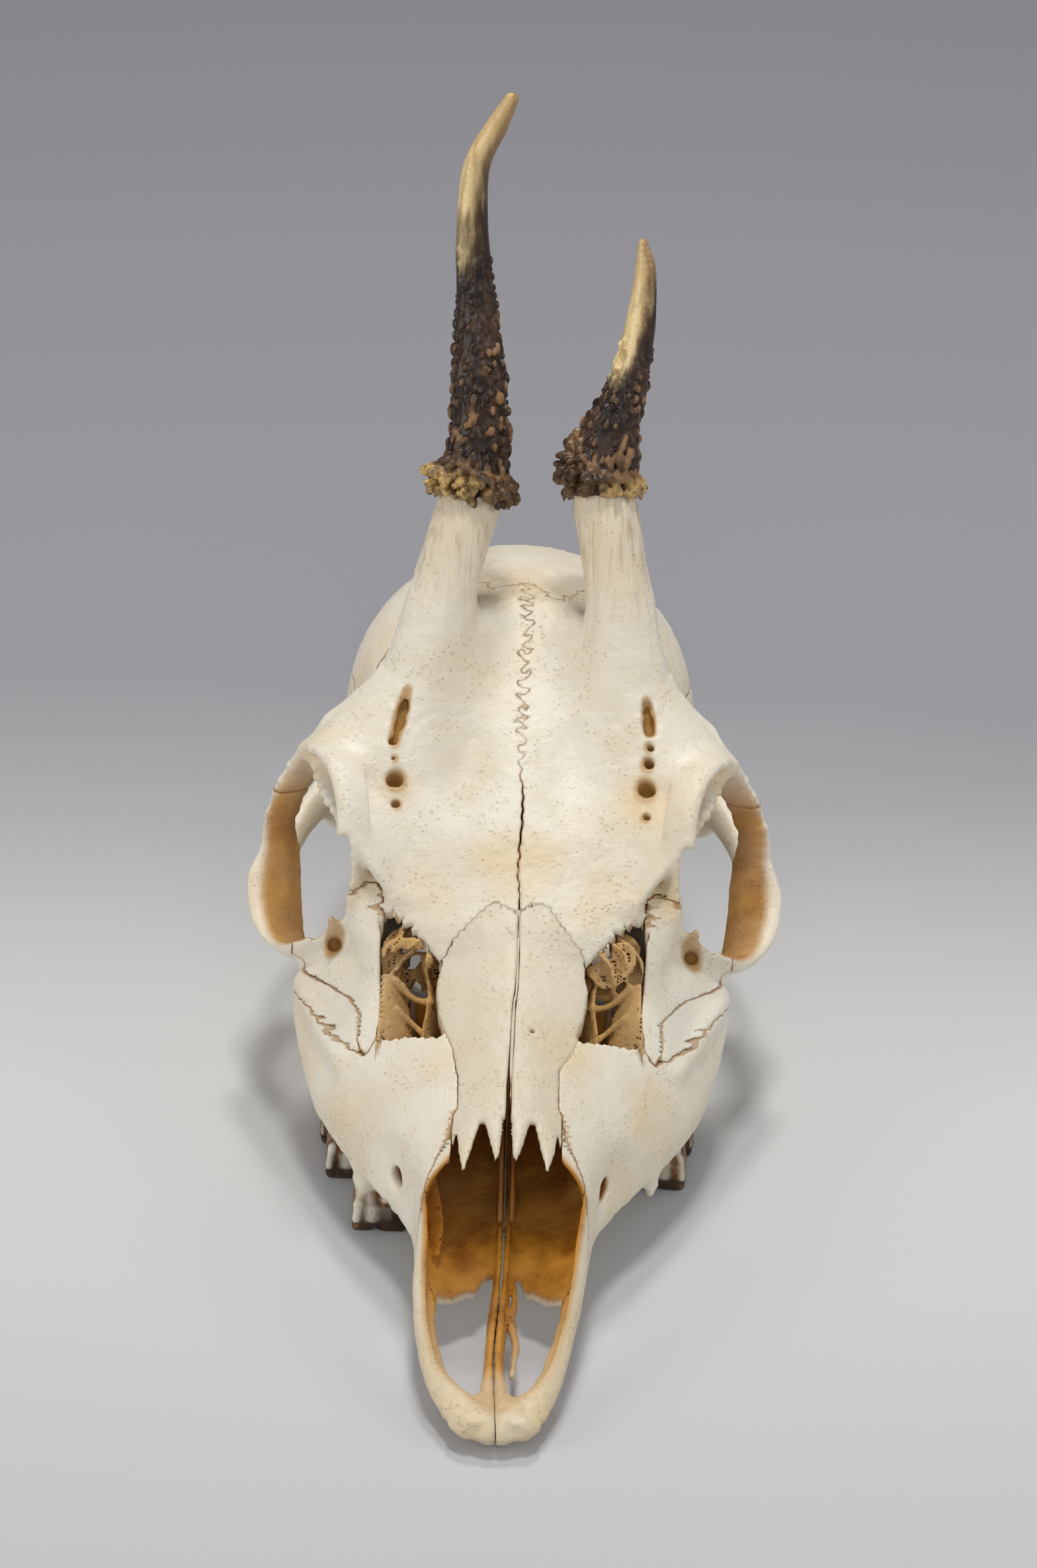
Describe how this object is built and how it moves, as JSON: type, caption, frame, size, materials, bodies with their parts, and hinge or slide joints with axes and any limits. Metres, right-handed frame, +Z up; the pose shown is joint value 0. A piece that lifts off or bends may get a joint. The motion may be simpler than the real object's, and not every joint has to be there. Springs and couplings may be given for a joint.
{
  "type": "roe deer skull",
  "caption": "Life-size skull of a young roe buck without its lower jaw, with two unbranched spike antlers on long pedicles, resting on its cheek teeth.",
  "frame": {"origin": "under the middle of the bounding box, on the surface that the skull stands on", "axes": "+Y from the muzzle tip to the back of the skull, +X to the animal's left, +Z up"},
  "size_m": [0.0912, 0.1926, 0.1593],
  "materials": {
    "bone": "dry cream bone, slightly glossy on the forehead",
    "nose_bone": "thin bone stained orange brown",
    "antler": "dark brown pearled antler with polished tan tips"
  },
  "bodies": {
    "root": {"nasal_left": "bone", "nasal_right": "bone", "vomer_ethmoid": "nose_bone", "premaxilla_left": "bone", "premaxilla_right": "bone", "lacrimal_left": "bone", "lacrimal_right": "bone", "frontal_left": "bone", "frontal_right": "bone", "zygomatic_left": "bone", "zygomatic_right": "bone", "temporal_left": "bone", "temporal_right": "bone", "parietal": "bone", "occipital": "bone", "maxilla_left": "bone", "maxilla_right": "bone", "skull_base": "bone", "antler_right": "antler", "antler_left": "antler"}
  },
  "joints": []
}
